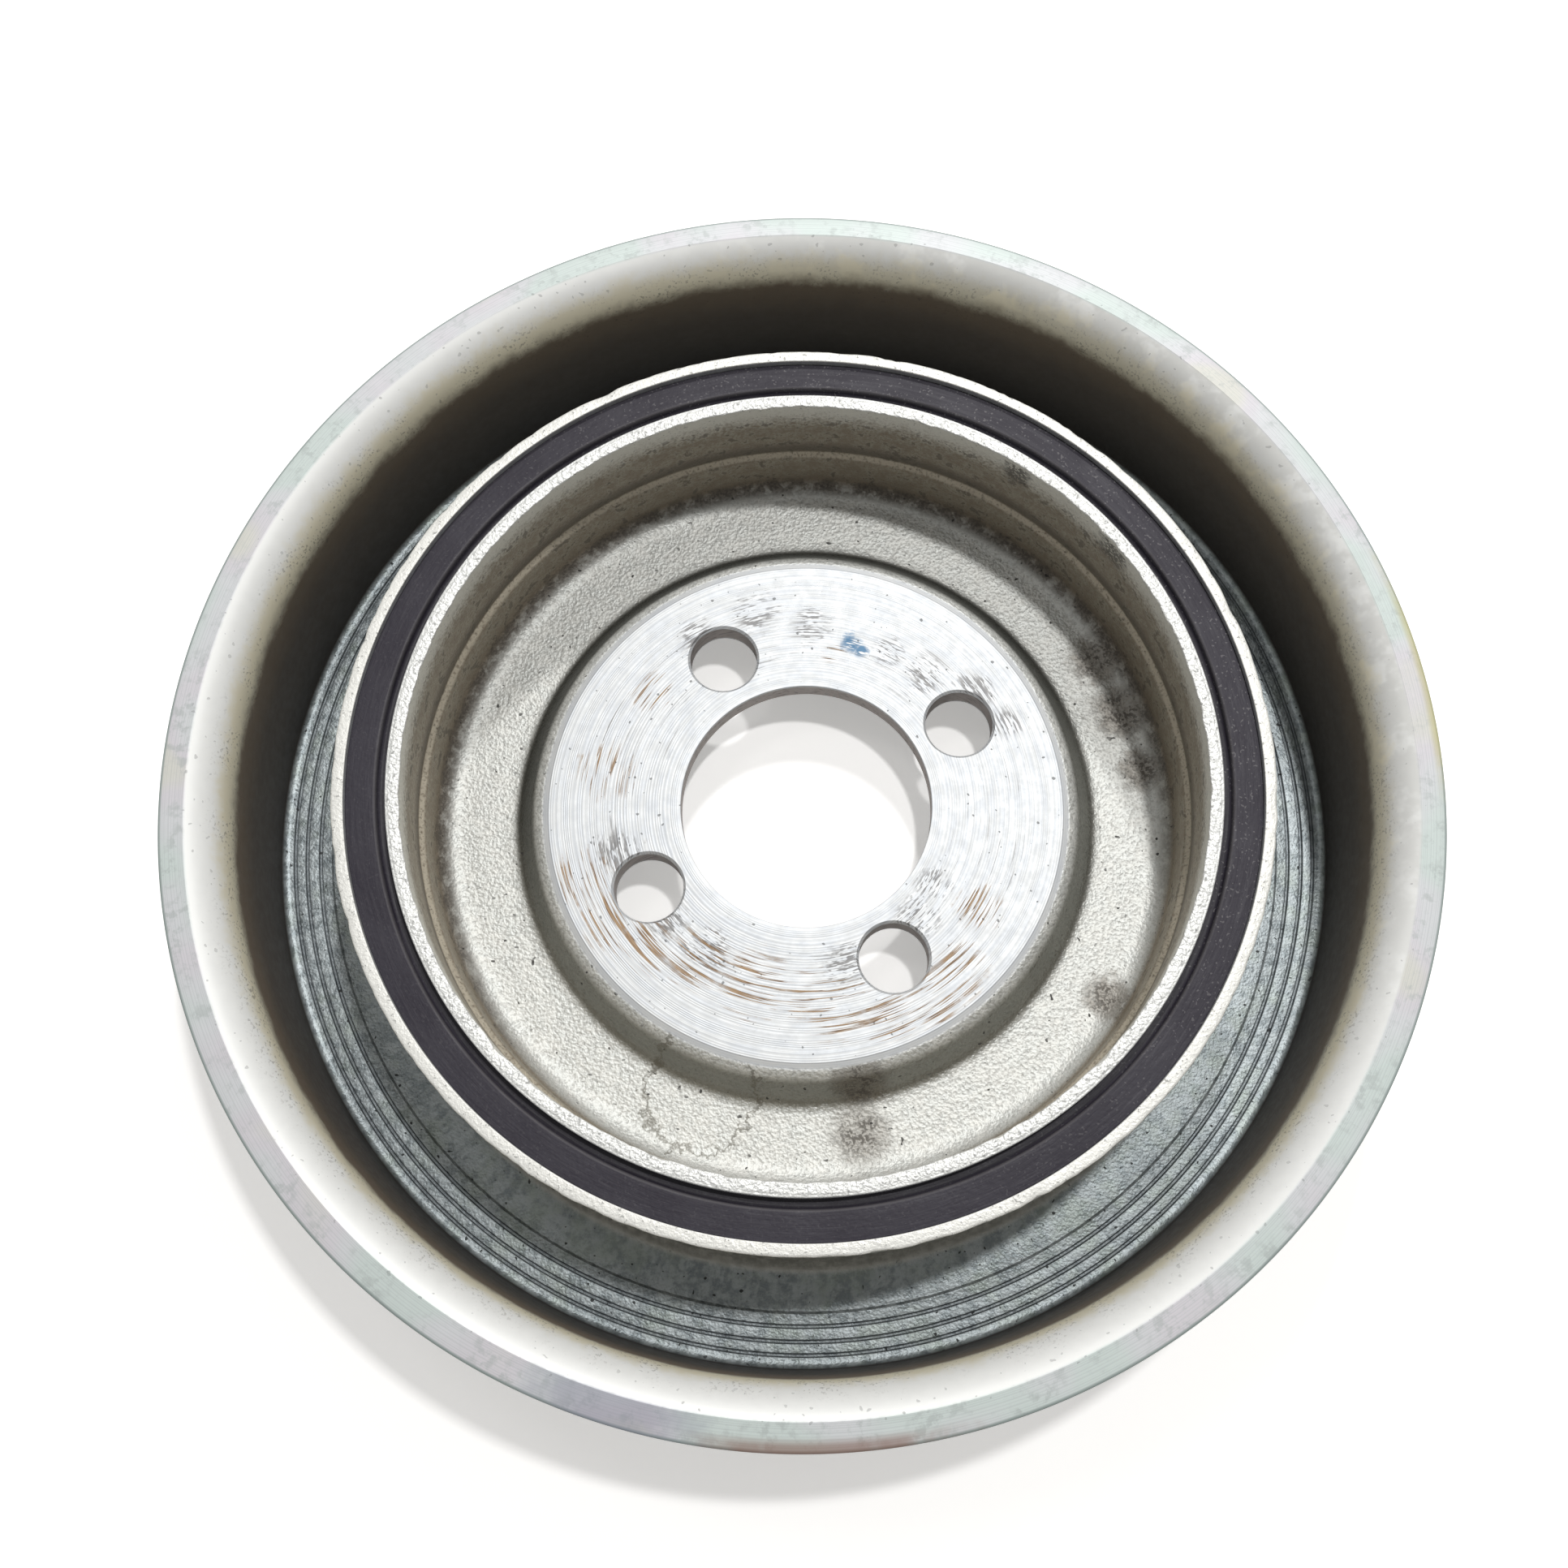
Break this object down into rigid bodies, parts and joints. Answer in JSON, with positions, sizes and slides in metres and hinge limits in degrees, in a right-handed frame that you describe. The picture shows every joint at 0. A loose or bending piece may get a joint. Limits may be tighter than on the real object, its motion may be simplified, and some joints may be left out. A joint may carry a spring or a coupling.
{
  "type": "belt pulley",
  "caption": "Ribbed belt pulley: a bolted steel hub cup, a rubber damper ring around it and a grooved rim with an open, flared mouth.",
  "frame": {"origin": "centre of the bore, on the turned rear face of the hub flange", "axes": "+Z along the axis of rotation, out of the open rear side of the pulley; X and Y across it"},
  "size_m": [0.1472, 0.1472, 0.0267],
  "materials": {
    "hub": "turned and zinc plated, worn",
    "damper_ring": "satin",
    "belt_rim": "zinc plated, stained"
  },
  "bodies": {
    "root": {"hub": "hub", "damper_ring": "damper_ring", "belt_rim": "belt_rim"}
  },
  "joints": []
}
